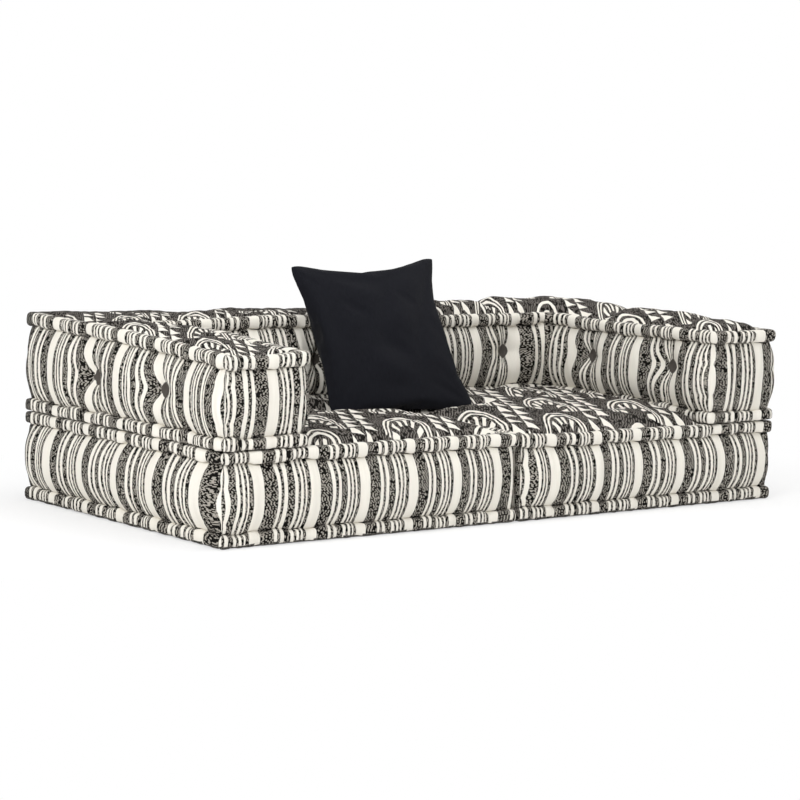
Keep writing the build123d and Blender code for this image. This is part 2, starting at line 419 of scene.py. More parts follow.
class Cushion:
    """One mattress-like cushion: its outline, its levels and its stitches."""

    def __init__(self, kind, side, seed, stripe_way):
        self.name, self.kind, self.side, self.seed = f"{kind}_{side}", kind, side, seed
        self.low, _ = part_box(f"{self.name}_bottom_roll")
        _, self.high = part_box(f"{self.name}_top_roll")
        low, high = self.low, self.high
        self.base, self.top = low.z, high.z
        self.away = 1 if side == "right" else -1
        self.split_x, self.outer_x = (low.x, high.x) if side == "right" else (high.x, low.x)
        self.arm_x = self.outer_x - self.away * ARM_WIDTH
        self.rest_y = high.y - BACK_DEPTH
        corners, inner = self.corners()
        radii = [INNER_CORNER_RADIUS if k == inner else CORNER_RADIUS for k in range(len(corners))]
        self.path = make_path(corners, radii)
        self.length = self.path[1]
        count = round(self.length / RING_SPACING)
        self.s = np.arange(count) * self.length / count
        self.stripe_way = stripe_way
        self.upper = stitch_places(self.length, seed + 1)
        self.lower = stitch_places(self.length, seed + 2)
        self.tufts, self.valleys, self.droops = [], [], []
        self.corner_shift, self.lift = 0.0, 0.0
        at_corners, _ = along(self.path, np.array(corner_ways(self.path)))
        by_split = np.abs(at_corners - self.split_x) < CORNER_REACH
        self.corners_drawn = np.where(by_split, SPLIT_CORNER_DRAWN, CORNER_DRAWN)
        _, y = along(self.path, self.s)
        self.plain = (y > high.y - PLAIN_REAR).astype(float)

    def corners(self):
        """The outline's corners, counterclockwise, and which of them is the inner one of an L."""
        low, high, arm, rest = self.low, self.high, self.arm_x, self.rest_y
        if self.kind == "seat":
            return [(low.x, low.y), (high.x, low.y), (high.x, high.y), (low.x, high.y)], None
        if self.side == "right":
            front = [(arm, low.y), (high.x, low.y)]
            return front + [(high.x, high.y), (low.x, high.y), (low.x, rest), (arm, rest)], 5
        front = [(low.x, low.y), (arm, low.y)]
        return front + [(arm, rest), (high.x, rest), (high.x, high.y), (low.x, high.y)], 2

    def corner_aways(self, s):
        """How far each way is past the middle of each outward corner."""
        return [past_way(s, middle, self.length) for middle in corner_ways(self.path)]

    def place(self, s, inset):
        """Places along the outline, kept on this cushion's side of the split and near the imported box."""
        x, y = along(self.path, s, inset)
        if self.side == "right":
            x = np.maximum(x, self.split_x + SPLIT_GAP)
        else:
            x = np.minimum(x, self.split_x - SPLIT_GAP)
        x = np.clip(x, self.low.x - PROUD_X, self.high.x + PROUD_X)
        return x, np.clip(y, self.low.y - PROUD_FRONT, self.high.y + PROUD_REAR)

    def uneven(self, s, z, kind):
        """Random waves on a band, whose first coordinate closes on itself."""
        def wave(length, turn):
            return tau * max(1, round(self.length / length)) * s / self.length + turn * z

        return wave_sum(kind, self.seed, wave)

    def dips(self, s, places, sharpness):
        """1 at each stitch, falling to 0 halfway between two."""
        s = s % self.length
        edges = np.concatenate(([places[-1] - self.length], places))
        s = np.where(s >= places[-1], s - self.length, s)
        k = np.clip(np.searchsorted(edges, s, side="right") - 1, 0, len(places) - 1)
        share = np.clip((s - edges[k]) / (edges[k + 1] - edges[k]), 0, 1)
        return 1 - np.sin(pi * share) ** sharpness

    def bulge(self, s):
        """How far the stuffed side stands out of its seams, least on the front ends of the arms."""
        ahead, _ = along(self.path, s + FACING_STEP)
        behind, y = along(self.path, s - FACING_STEP)
        arm_end = (y < self.low.y + ARM_END) * (self.kind == "surround")
        facing = np.abs(ahead - behind) / (2 * FACING_STEP)
        return BAND_BULGES[self.kind] * (1 - (FRONT_LOSS + ARM_END_LOSS * arm_end) * facing)

    def pressed(self, s):
        """How much the lower and the upper roll are pressed between two cushions, from 0 to 1."""
        if self.kind == "surround":
            return 0.0 * s + 1, 0.0 * s
        x, y = along(self.path, s)
        past_arm, past_rest = self.away * (x - self.arm_x), y - self.rest_y
        return 0.0 * s, 1 / (1 + np.exp(-np.maximum(past_arm, past_rest) / PRESSED_EDGE))

    def fit_stripes(self, places):
        """Fits whole repeats of the stripes between the middles of pale ones at these places."""
        ways = np.array(sorted(find_way(self.path, x, y) for x, y in places))
        spans = np.diff(np.append(ways, ways[0] + self.length))
        counts = np.maximum(1, np.round(spans / STRIPE_REPEAT))
        starts = np.cumsum(counts) - counts
        turn, total = self.length, counts.sum()
        self.cream_ways = np.concatenate((ways - turn, ways, ways + turn))
        self.cream_counts = np.concatenate((starts - total, starts, starts + total))
        self.whole_turn = self.stripe_way * total * STRIPE_REPEAT

    def base_at(self, x, y):
        return self.base + (sag(x, y) if self.kind == "surround" else 0.0 * x)

    def top_at(self, x, y):
        if self.kind == "seat":
            return self.top + sag(x, y)
        z = self.top + self.lift + waves(x, y, TOP_WAVES, self.seed)
        for at_x, at_y, reach, depth in self.droops:
            z = z - depth * bell(np.hypot(x - at_x, y - at_y), reach)
        return z

    def roll_heights(self, s):
        """Heights of the lower and the upper roll, pressed flatter between the cushions."""
        wave = self.uneven(s, 0.0, ROLL_WAVES)
        free, pressed = ROLL_HEIGHT + wave, PRESSED_ROLL_HEIGHT + PRESSED_WAVE * wave
        lower, upper = self.pressed(s)
        return free + (pressed - free) * lower, free + (pressed - free) * upper

    def seam_heights(self, s):
        """Heights of the lower and the upper seam of the band."""
        x, y = along(self.path, s)
        lower, upper = self.roll_heights(s)
        lower = lower - SEAM_SCALLOP * self.dips(s, self.lower, SCALLOP_SHARPNESS)
        upper = upper - SEAM_SCALLOP * self.dips(s, self.upper, SCALLOP_SHARPNESS)
        return self.base_at(x, y) + lower, self.top_at(x, y) - upper

    def puckers(self, k, z, sharpness):
        """1 at each pucker of a corner, whose seam is sewn at even steps."""
        pitch = PUCKER_PITCH * (1 + PUCKER_STRETCH * k)
        phase = pi * ((z - self.base) / pitch + PUCKER_STARTS[0] + PUCKER_STARTS[1] * k)
        return 1 - np.abs(np.sin(phase)) ** sharpness

    def stripe(self, s, z):
        """Cloth coordinate across the stripes, drawn in at the tufts and wavering at the corners."""
        u = np.interp(s, self.cream_ways, self.cream_counts) * STRIPE_REPEAT
        u = u + self.uneven(s, z, STRIPE_WAVES) + self.uneven(s, z, STRIPE_TREMBLE)
        aways = self.corner_aways(s)
        for k, away in enumerate(aways):
            gather = CORNER_GATHER * (self.puckers(k, z, CORNER_GATHER_SHARPNESS) + CORNER_GATHER_EVEN)
            u = u + gather * np.tanh(away / CORNER_GATHER_WIDTH) * bell(away, CORNER_GATHER_REACH, 1)
        u = u + self.corner_shift * bell(aways[0], CORNER_SHIFT_REACH)
        for s0, z0 in self.tufts:
            away = past_way(s, s0, self.length)
            width = GATHER_WIDTH + GATHER_WIDENING * np.abs(z - z0)
            gather = np.where(away < 0, *TUFT_GATHER) * np.tanh(away / width)
            u = u + gather * bell(away, np.where(away < 0, *TUFT_SPREAD)) * bell(z - z0, TUFT_LEVEL)
        return self.stripe_way * u + STRIPES[1][0] * STRIPE_REPEAT / 2

    def pit(self, k, s, z):
        """How far one tuft draws the band in, with the creases that run out from it."""
        s0, z0 = self.tufts[k]
        away, up = past_way(s, s0, self.length), z - z0
        far, angle = np.hypot(away, up), np.arctan2(up, away)
        dish = sum(share * bell(far, reach) for share, reach in TUFT_DISH)
        rng = np.random.default_rng(self.seed + CREASE_SEED + k)
        creases = 0.0
        for heading, strength, reach in TUFT_CREASES:
            turn = (angle - radians(heading + rng.normal(0, CREASE_STRAY)) + pi) % tau - pi
            width = CREASE_WIDTH + CREASE_WIDENING * far
            window = (far / CREASE_START) * np.exp(-far / reach * CREASE_FADE)
            creases = creases + strength * (np.cos(turn) > 0) * window * bell(np.sin(turn) * far, width)
        return TUFT_DEPTH * dish + CREASE_DEPTH * creases

    def band(self, s, t):
        """Inset, height and cloth coordinate of the stuffed side at ways s and shares t of its height."""
        low, high = self.seam_heights(s)
        tall = high - low
        z = low + tall * t
        round_t = 1 - np.abs(2 * t - 1) ** BAND_ROUNDNESS
        out = self.bulge(s) * round_t * (1 + self.uneven(s, z, STUFFING_WAVES))
        near_top, near_foot = np.exp(-(1 - t) * tall / STITCH_REACH), np.exp(-t * tall / STITCH_REACH)
        out = out - STITCH_PULL * near_top * self.dips(s, self.upper, BAND_SHARPNESS)
        out = out - STITCH_PULL * near_foot * self.dips(s, self.lower, BAND_SHARPNESS)
        folds, fine = self.uneven(s, z, FOLD_WAVES), self.uneven(s, z, FINE_WAVES)
        calm = np.clip(round_t * BAND_CALM, 0, 1)
        out = out + calm * (FOLD_DEPTH * folds + FINE_DEPTH * fine)
        out = out + SEAM_FINE_DEPTH * fine * (near_top + near_foot)
        for k, away in enumerate(self.corner_aways(s)):
            near = bell(away, CORNER_REACH)
            pucker = PUCKER_DEPTH * self.puckers(k, z, BAND_SHARPNESS) * bell(away, PUCKER_REACH, 1.5)
            out = out * (1 - self.corners_drawn[k] * near)
            out = out - calm * (pucker + CORNER_SEAM_DEPTH * bell(away, CORNER_SEAM_REACH))
            out = out + calm * near * (CORNER_FOLD_DEPTH * folds + CORNER_FINE_DEPTH * fine)
        for k in range(len(self.tufts)):
            out = out - self.pit(k, s, z)
        return SEAM_INSET - out, z, self.stripe(s, z)

    def make_band(self, replaced):
        """The striped side, with a plain hidden back."""
        even = np.linspace(0, 1, BAND_ROWS)
        t = BAND_EASE * (0.5 - 0.5 * np.cos(pi * even)) + (1 - BAND_EASE) * even
        s, t = np.meshgrid(self.s, t, indexing="ij")
        inset, z, u = self.band(s, t)
        back_z = np.stack((z[:, -1], (z[:, -1] + z[:, 0]) / 2, z[:, 0]), 1)
        inset = np.concatenate((inset, np.full_like(back_z, BAND_BACK)), 1)
        u = np.concatenate((u, u[:, -1:], u[:, -1:], u[:, :1]), 1)
        z = np.concatenate((z, back_z), 1)
        piece = ring_piece(f"{self.name}_side", self, inset, z, u, z)
        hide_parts(*replaced)

    def make_roll(self, which, replaced):
        """A padded roll along the upper or the lower edge, gathered by its stitches."""
        upper = which == "upper"
        around = np.arange(ROLL_STEPS) * tau / ROLL_STEPS
        s, around = np.meshgrid(self.s, around, indexing="ij")
        x, y = along(self.path, s)
        half = self.roll_heights(s)[1 if upper else 0] / 2
        level = self.top_at(x, y) - half if upper else self.base_at(x, y) + half
        places = self.upper if upper else self.lower
        inner_places = np.sort((places + INNER_STITCH_SHIFT) % self.length)
        outer_side = 0.5 - 0.5 * np.cos(around)
        pinch = outer_side * self.dips(s, places, ROLL_SHARPNESS)
        pinch = pinch + (1 - outer_side) * self.dips(s, inner_places, ROLL_SHARPNESS)
        seam_side = np.clip(-np.sin(around) if upper else np.sin(around), 0, 1)
        pressed = self.pressed(s)[1 if upper else 0]
        roundness = ROLL_ROUNDNESS + (PRESSED_ROUNDNESS - ROLL_ROUNDNESS) * pressed
        drawn = ROLL_PINCH * (1 + SEAM_SIDE_PINCH * seam_side) * pinch
        size = 1 - (drawn - self.uneven(s, around * ROLL_GIRTH, ROLL_WOBBLE)) / half
        drift = self.uneven(s, 0.0, ROLL_DRIFT)
        reach = ROLL_WIDTH / 2 + ROLL_DRIFT_OUT * drift
        inset = ROLL_WIDTH / 2 + reach * squared(np.cos(around), roundness) * size
        for away in self.corner_aways(s):
            inset = inset - EAR * bell(away, EAR_REACH)
        height = level + half * squared(np.sin(around), roundness) * size + ROLL_DRIFT_UP * drift
        height = np.maximum(height, self.base_at(x, y))
        if self.kind == "seat":
            height = np.minimum(height, self.top_at(x, y) + ROLL_RISE)
        u = self.stripe(s, height)
        rows = [values[:, ::-1] for values in (inset, height, u, half * around)]
        piece = ring_piece(f"{self.name}_{which}_edge", self, *rows)
        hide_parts(*replaced)


# Pads of the tops and the undersides
def edge_distance(cushion, x, y):
    """Nearest way along the outline and the inset from it, for each place."""
    ways = np.arange(0, cushion.length, EDGE_STEP)
    edge_x, edge_y = along(cushion.path, ways)
    nearest, far = np.zeros(x.size), np.zeros(x.size)
    for start in range(0, x.size, EDGE_BATCH):
        part = slice(start, start + EDGE_BATCH)
        gaps = np.hypot(x.ravel()[part, None] - edge_x, y.ravel()[part, None] - edge_y)
        k = gaps.argmin(1)
        nearest[part], far[part] = ways[k], gaps[np.arange(len(k)), k]
    return nearest.reshape(x.shape), far.reshape(x.shape)


def inflate(free, keep=1.0):
    """The rise of a stretched sheet over a filling, held down outside its free cells."""
    rise = np.zeros(free.shape)
    for _ in range(INFLATE_ROUNDS):
        around = np.zeros_like(rise)
        around[1:-1, 1:-1] = (rise[2:, 1:-1] + rise[:-2, 1:-1] + rise[1:-1, 2:] + rise[1:-1, :-2]) / 4
        rise = np.where(free, keep * around + 1.0, 0.0)
    return rise / rise.max()


def round_off(cushion, x, y):
    """Draws a grid's sharp corners in to the outline's round ones."""
    for _, _, entry, way, turn, radius, _ in cushion.path[0]:
        if turn <= 0:
            continue
        out = np.array((way[1], -way[0]))
        centre = entry - out * radius
        ahead = way[0] * (x - centre[0]) + way[1] * (y - centre[1])
        outward = out[0] * (x - centre[0]) + out[1] * (y - centre[1])
        far = np.hypot(ahead, outward)
        past = (ahead > 0) & (outward > 0) & (far > radius - PANEL_TUCK)
        scale = np.where(past, (radius - PANEL_TUCK) / np.maximum(far, TINY), 1)
        x, y = centre[0] + (x - centre[0]) * scale, centre[1] + (y - centre[1]) * scale
    return x, y


def steps_between(marks, spacing):
    """Grid lines through each mark, about a spacing apart."""
    lines = [np.linspace(a, b, max(2, round((b - a) / spacing)) + 1)[:-1] for a, b in zip(marks, marks[1:])]
    return np.concatenate(lines + [np.array(marks[-1:])])


def panel_lines(cushion, spacing, even=False):
    """Grid lines of a pad, even or through the L's inner corner, and the test for what is on it."""
    low, high = cushion.low, cushion.high
    inner_x = cushion.arm_x + cushion.away * PANEL_TUCK
    inner_y = cushion.rest_y + PANEL_TUCK
    x_marks = [low.x + PANEL_TUCK, high.x - PANEL_TUCK] + ([] if even else [inner_x])
    y_marks = [low.y + PANEL_TUCK, high.y - PANEL_TUCK] + ([] if even else [inner_y])

    def on_panel(x, y):
        on_l = (cushion.away * (x - inner_x) > -TINY) | (y > inner_y - TINY)
        return on_l | (cushion.kind == "seat")

    return steps_between(sorted(x_marks), spacing), steps_between(sorted(y_marks), spacing), on_panel


def panel_piece(name, cushion, xs, ys, on_panel, height_at, foot, material):
    """A closed pad: a grid for its top, and a foot under its rim."""
    x, y = np.meshgrid(xs, ys, indexing="ij")
    inside = on_panel((x[:-1, :-1] + x[1:, 1:]) / 2, (y[:-1, :-1] + y[1:, 1:]) / 2)
    x, y = round_off(cushion, x, y)
    z, cloth_x, cloth_y = height_at(x, y)
    quads = grid_quads(*x.shape)[inside.ravel()]
    used, packed = np.unique(quads, return_inverse=True)
    quads = packed.reshape(quads.shape)
    edges = {}
    for a, b in np.concatenate([quads[:, [k, (k + 1) % 4]] for k in range(4)]):
        if (b, a) in edges:
            del edges[(b, a)]
        else:
            edges[(a, b)] = True
    following = dict(edges.keys())
    loop, point = [], next(iter(following))
    while len(loop) < len(following):
        loop.append(point)
        point = following[point]
    loop = np.array(loop)
    top = np.stack((x.ravel()[used], y.ravel()[used], z.ravel()[used]), 1)
    under = top[loop].copy()
    under[:, 2] = foot(under[:, 0], under[:, 1])
    start, count = len(top), len(loop)
    k = np.arange(count)
    sides = np.stack((loop, start + k, start + (k + 1) % count, loop[(k + 1) % count]), 1)
    bottom = (start + k)[None, ::-1]
    unprinted = (top[:, 1] > cushion.high.y - PLAIN_TOP) * (cushion.name == "surround_left")
    cloth_at = np.stack((cloth_x.ravel()[used], cloth_y.ravel()[used], unprinted), 1)
    cloth_at = np.concatenate((cloth_at, cloth_at[loop]))
    loops = np.concatenate((quads.ravel(), sides.ravel(), bottom.ravel()))
    places = np.concatenate((top, under))
    return new_piece(name, places, [quads, sides, bottom], cloth_at[loops], material, cushion.name)


# The four cushions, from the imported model's boxes
SEAT_LEFT = Cushion("seat", "left", 100, 1)
SEAT_RIGHT = Cushion("seat", "right", 200, 1)
LEFT = Cushion("surround", "left", 300, -1)
RIGHT = Cushion("surround", "right", 400, 1)

# The left surround is stuffed fuller than the right one: its top droops in front and stands up at the rear
# Each droop is (x, y, reach, depth).
LEFT.lift = 0.014
LEFT.droops = [
    ((LEFT.low.x + LEFT.arm_x) / 2, LEFT.low.y, 0.28, 0.028),
    (LEFT.low.x, LEFT.high.y, 0.2, -0.012),
]


def place_tufts(cushion):
    """Ties that run through the arm and the back, each with a tuft at both ends and a valley above."""
    low, high, path = cushion.low, cushion.high, cushion.path
    middle = (low.z + high.z) / 2
    for share in ARM_TIES[cushion.side]:
        y = low.y + share * (high.y - low.y)
        cushion.valleys.append(("y", y, *sorted((cushion.outer_x, cushion.arm_x))))
        cushion.tufts.append((find_way(path, cushion.outer_x, y), middle))
        cushion.tufts.append((find_way(path, cushion.arm_x, y), middle + TUFT_LIFT))
    for share in BACK_TIES:
        x = cushion.split_x + cushion.away * share * (high.x - low.x)
        cushion.valleys.append(("x", x, cushion.rest_y, high.y))
        cushion.tufts.append((find_way(path, x, high.y), middle))
        cushion.tufts.append((find_way(path, x, cushion.rest_y), middle + TUFT_LIFT))


place_tufts(LEFT)
place_tufts(RIGHT)

# Stripes of the cloth, as shares of their repeat: (where it starts, how pale it is)
STRIPE_REPEAT = 0.1665
STRIPES = (
    (0.0, 1), (0.19, 0), (0.42, 1), (0.48, 0), (0.535, 1), (0.60, 0),
    (0.72, 1), (0.775, 0), (0.82, 1), (0.862, 0), (0.9, 1), (0.932, 0),
)

# Places of the middles of pale stripes, which the stripes' repeats are fitted between
SEAT_LEFT.fit_stripes([(LEFT_END, y) for y in (0.348, 0.17, -0.007, -0.18, -0.395)]
                      + [(x, FRONT) for x in (-0.892, -0.712, -0.547, -0.385, -0.235, -0.09)])
SEAT_LEFT.corner_shift = -0.02
SEAT_RIGHT.fit_stripes([(x, FRONT) for x in (0.12, 0.296, 0.443, 0.6, 0.768, 0.943)])
LEFT.fit_stripes([(LEFT_END, y) for y in (0.336, 0.157, -0.002, -0.179, -0.35, -0.474)] + [(-0.843, FRONT)])
RIGHT.fit_stripes([(x, FRONT) for x in (0.93, 0.735)] + [(0.725, y) for y in (-0.341, -0.187, -0.018, 0.12)]
                  + [(x, 0.23) for x in (0.59, 0.43)])


# Materials
def linear(red, green, blue):
    """A colour as it looks on a screen, turned into the values that a shader takes."""
    return tuple(((c + 0.055) / 1.055) ** 2.4 if c > 0.04 else c / 12.92 for c in (red, green, blue)) + (1.0,)


CREAM = linear(0.955, 0.94, 0.905)
CREAM_SHADE = linear(0.87, 0.85, 0.80)
CHARCOAL = linear(0.052, 0.047, 0.043)
FLECK = linear(0.64, 0.62, 0.585)
GROUND = linear(0.12, 0.113, 0.105)
GROUND_FLECK = linear(0.46, 0.44, 0.42)
PLAIN = linear(0.27, 0.265, 0.26)
PLAIN_SHADE = linear(0.17, 0.165, 0.16)
TUFT_CLOTH = linear(0.36, 0.34, 0.32)
TUFT_CLOTH_SHADE = linear(0.28, 0.265, 0.25)
NAVY_BLACK = linear(0.115, 0.118, 0.14)
NAVY_SHADE = linear(0.07, 0.073, 0.092)

# Threads, and the pale floats on the stripes and on the printed ground: width and height
THREAD = 0.0022
PILLOW_THREAD = 0.0012
STRIPE_FLOAT = (0.0045, 0.0029)
GROUND_FLOAT = (0.0042, 0.0036)

# Share of the floats that show in the even and in the odd places of a row, and how many places repeat
FLOAT_SHARES = (0.06, 0.74)
FLOAT_PERIOD = 2.0

# Fineness of the cloth's noise along its two coordinates
EDGE_FINENESS = (60.0, 330.0)
STREAK_FINENESS = (420.0, 14.0)
SLUB_FINENESS = (300.0, 40.0)
EDGE_RAGGED = 0.0022
STREAK_SHARE = 0.6
PLAIN_SHARE = 0.6
WEAR_SCALE = 9.0
WEAR_SHARE = 0.012
FLOAT_RAISED = 0.6

# Bumps of the woven and of the plain cloths: strength and distance
WOVEN_BUMP = (0.5, 0.0012)
PLAIN_BUMP = (0.4, 0.0008)


class Nodes:
    """Short ways to add and link the nodes of one material or world."""

    def __init__(self, owner, output="ShaderNodeOutputMaterial"):
        owner.use_nodes = True
        self.owner, self.tree = owner, owner.node_tree
        self.tree.nodes.clear()
        self.out = self.tree.nodes.new(output)

    def add(self, kind, inputs=(), **settings):
        node = self.tree.nodes.new(kind)
        for key, value in settings.items():
            setattr(node, key, value)
        for key, value in dict(inputs).items():
            if isinstance(value, bpy.types.NodeSocket):
                self.tree.links.new(value, node.inputs[key])
            else:
                node.inputs[key].default_value = value
        return node

    def end(self, shader):
        self.tree.links.new(shader.outputs[0], self.out.inputs[0])
        return self.owner

    def math(self, operation, *values):
        return self.add("ShaderNodeMath", enumerate(values), operation=operation).outputs[0]

    def times(self, a, b):
        return self.math("MULTIPLY", a, b)

    def plus(self, a, b):
        return self.math("ADD", a, b)

    def minus(self, a, b):
        return self.math("SUBTRACT", a, b)

    def over(self, a, b):
        return self.math("DIVIDE", a, b)

    def turn(self, value, repeat):
        """How far a value is through its repeat, from 0 to 1."""
        return self.math("FRACT", self.over(value, repeat))

    def within(self, value, low, high):
        return self.times(self.math("GREATER_THAN", value, low), self.math("LESS_THAN", value, high))

    def mix(self, share, a, b):
        settings = {"data_type": "RGBA", "clamp_factor": True}
        return self.add("ShaderNodeMix", {0: share, 6: a, 7: b}, **settings).outputs[2]

    def join(self, x, y, z=0.0):
        return self.add("ShaderNodeCombineXYZ", {0: x, 1: y, 2: z}).outputs[0]

    def noise(self, vector, scale, detail=2.0):
        inputs = {"Vector": vector, "Scale": scale, "Detail": detail}
        return self.add("ShaderNodeTexNoise", inputs).outputs[0]

    def streaks(self, u, v, fineness, detail=3.0):
        """Noise drawn out along one way of the cloth."""
        return self.noise(self.join(self.times(u, fineness[0]), self.times(v, fineness[1])), 1.0, detail)

    def chance(self, cell, dimensions="3D"):
        """A random number for each cell."""
        inputs = {"W" if dimensions == "1D" else "Vector": cell}
        return self.add("ShaderNodeTexWhiteNoise", inputs, noise_dimensions=dimensions).outputs[0]

    def bars(self, share, stops):
        """The paleness of the last stop at or before a share of the repeat."""
        node = self.add("ShaderNodeValToRGB", {0: share})
        node.color_ramp.interpolation = "CONSTANT"
        elements = node.color_ramp.elements
        while len(elements) > 1:
            elements.remove(elements[-1])
        for k, (position, pale) in enumerate(stops):
            element = elements.new(position) if k else elements[0]
            element.position, element.color = position, (pale, pale, pale, 1)
        return node.outputs[0]

    def cloth(self):
        """The cloth coordinates of the surface in metres, and where its cloth is plain."""
        found = self.add("ShaderNodeAttribute", attribute_name="cloth", attribute_type="GEOMETRY")
        return self.add("ShaderNodeSeparateXYZ", {0: found.outputs["Vector"]}).outputs

    def finish(self, colour, height, bump, roughness=0.9, sheen=0.0):
        raised = self.add("ShaderNodeBump", {"Height": height, "Strength": bump[0], "Distance": bump[1]})
        return self.end(self.add("ShaderNodeBsdfPrincipled", {
            "Base Color": colour, "Roughness": roughness, "Specular IOR Level": 0.05,
            "Sheen Weight": sheen, "Sheen Roughness": 0.5, "Normal": raised.outputs[0]}))


def weave(n, u, v, pitch):
    """Height of a plain weave of threads."""
    a, b = (n.math("ABSOLUTE", n.math("SINE", n.times(way, pi / pitch))) for way in (u, v))
    return n.times(a, b)


def brocade(n, u, v, dark, pale, size):
    """A dark ground with rows of short pale floats, each row shifted by chance, and where the floats are."""
    row = n.math("FLOOR", n.over(v, size[1]))
    place = n.math("FLOOR", n.math("MULTIPLY_ADD", n.chance(row, "1D"), FLOAT_PERIOD, n.over(u, size[0])))
    odd = n.math("MODULO", n.math("ABSOLUTE", place), FLOAT_PERIOD)
    share = n.math("MULTIPLY_ADD", odd, FLOAT_SHARES[1] - FLOAT_SHARES[0], FLOAT_SHARES[0])
    fleck = n.math("LESS_THAN", n.chance(n.join(place, row)), share)
    return n.mix(fleck, dark, pale), fleck


def striped_cloth():
    """Pale stripes on flecked dark ones, plain where the cushion says so."""
    n = Nodes(bpy.data.materials.new("striped_cloth"))
    u, v, plain_part = n.cloth()
    edge = n.minus(n.streaks(u, v, EDGE_FINENESS, 2.0), 0.5)
    ragged = n.math("MULTIPLY_ADD", edge, EDGE_RAGGED, u)
    pale = n.times(n.bars(n.turn(ragged, STRIPE_REPEAT), STRIPES), n.minus(1.0, plain_part))
    cream = n.mix(n.times(n.streaks(u, v, STREAK_FINENESS), STREAK_SHARE), CREAM, CREAM_SHADE)
    flecked, fleck = brocade(n, u, v, CHARCOAL, FLECK, STRIPE_FLOAT)
    slubs = n.mix(n.streaks(u, v, SLUB_FINENESS), PLAIN, PLAIN_SHADE)
    dark = n.mix(n.times(plain_part, PLAIN_SHARE), flecked, slubs)
    wear = n.times(n.noise(n.join(u, v), WEAR_SCALE, 3.0), WEAR_SHARE)
    colour = n.mix(wear, n.mix(pale, dark, cream), CREAM_SHADE)
    height = n.plus(weave(n, u, v, THREAD), n.times(n.math("MAXIMUM", pale, fleck), FLOAT_RAISED))
    return n.finish(colour, height, WOVEN_BUMP)


# Hand print: a repeat holds two staggered columns of triangles and a column of fringed arches.
# The print lies askew on the cushions and is drawn out along its columns.
PRINT_TURN = radians(38)
PRINT_LEAN = 0.14
PRINT_LENGTH = 0.45
PRINT_SCALES = {"seat": 1.08, "surround": 1.4}
PRINT_REPEAT = 0.27
PRINT_SHAKES = (0.005, 0.004)
SHAKE_SCALE = 70.0
SHAKE_SLICE = 4.0
PRINT_RAISED = 0.7
INK_SCALE = 160.0
INK_SHARE = 0.5

# Triangles: the size of one, its slope, the gap above and below, and each column's (left, width, stagger)
TOOTH = 0.04
TOOTH_SLOPE, TOOTH_REACH = 1.15, 1.05
TOOTH_SPAN = (0.05, 0.9)
TOOTH_COLUMNS = ((0.0, 0.038, 0.0), (0.045, 0.038, 0.5 * TOOTH))

# Arches: their middle and half size, their outlines and fringe as shares of it, and the fringe's bars
ARCH_MIDDLE = 0.182
ARCH_SIZE = (0.078, 0.13)
ARCH_PITCH = 0.15
ARCH_LINES = ((0.93, 1.0), (0.79, 0.86))
ARCH_FRINGE = (0.42, 0.7)
FRINGE_BARS = 13.0
FRINGE_LEVEL = 0.1


def print_place(x, y, scale):
    """Print coordinates of a place on a cushion's top."""
    down = x * sin(PRINT_TURN) + y * cos(PRINT_TURN)
    across = x * cos(PRINT_TURN) - y * sin(PRINT_TURN) + PRINT_LEAN * down
    return scale * across, scale * PRINT_LENGTH * down


def print_marks(n, across, down):
    """Where the printed triangles, arches and fringes are, one mask for each."""
    a = n.times(n.turn(across, PRINT_REPEAT), PRINT_REPEAT)
    for left, width, stagger in TOOTH_COLUMNS:
        along_row = n.over(n.minus(a, left), width)
        step = n.turn(n.plus(down, stagger), TOOTH)
        slope = n.math("LESS_THAN", n.plus(along_row, n.times(step, TOOTH_SLOPE)), TOOTH_REACH)
        yield n.times(n.times(slope, n.within(step, *TOOTH_SPAN)), n.within(along_row, 0.0, 1.0))
    x = n.over(n.minus(a, ARCH_MIDDLE), ARCH_SIZE[0])
    y = n.times(n.turn(down, ARCH_PITCH), ARCH_PITCH / ARCH_SIZE[1])
    far = n.math("SQRT", n.plus(n.times(x, x), n.times(y, y)))
    for line in ARCH_LINES:
        yield n.within(far, *line)
    spokes = n.math("SINE", n.times(n.math("ARCTAN2", y, x), FRINGE_BARS))
    yield n.times(n.math("GREATER_THAN", spokes, FRINGE_LEVEL), n.within(far, *ARCH_FRINGE))


def printed_cloth():
    """A dark ground with hand-printed rows of triangles and nested arches."""
    n = Nodes(bpy.data.materials.new("printed_cloth"))
    u, v, unprinted = n.cloth()
    shake = n.minus(n.noise(n.join(u, v), SHAKE_SCALE), 0.5)
    other_shake = n.minus(n.noise(n.join(v, u, SHAKE_SLICE), SHAKE_SCALE), 0.5)
    across = n.math("MULTIPLY_ADD", shake, PRINT_SHAKES[0], u)
    down = n.math("MULTIPLY_ADD", other_shake, PRINT_SHAKES[1], v)
    mask = 0.0
    for mark in print_marks(n, across, down):
        mask = n.math("MAXIMUM", mask, mark)
    mask = n.times(mask, n.minus(1.0, unprinted))
    ground, _ = brocade(n, u, v, GROUND, GROUND_FLECK, GROUND_FLOAT)
    ink = n.mix(n.times(n.noise(n.join(u, v), INK_SCALE), INK_SHARE), CREAM, CREAM_SHADE)
    height = n.plus(weave(n, u, v, THREAD), n.times(mask, PRINT_RAISED))
    return n.finish(n.mix(mask, ground, ink), height, WOVEN_BUMP)


def plain_cloth(name, colour, shade, thread=THREAD, roughness=0.9, sheen=0.0):
    """Cloth of one colour with uneven threads."""
    n = Nodes(bpy.data.materials.new(name))
    u, v, _ = n.cloth()
    slub = n.streaks(u, v, SLUB_FINENESS)
    height = n.plus(weave(n, u, v, thread), slub)
    return n.finish(n.mix(slub, colour, shade), height, PLAIN_BUMP, roughness, sheen)


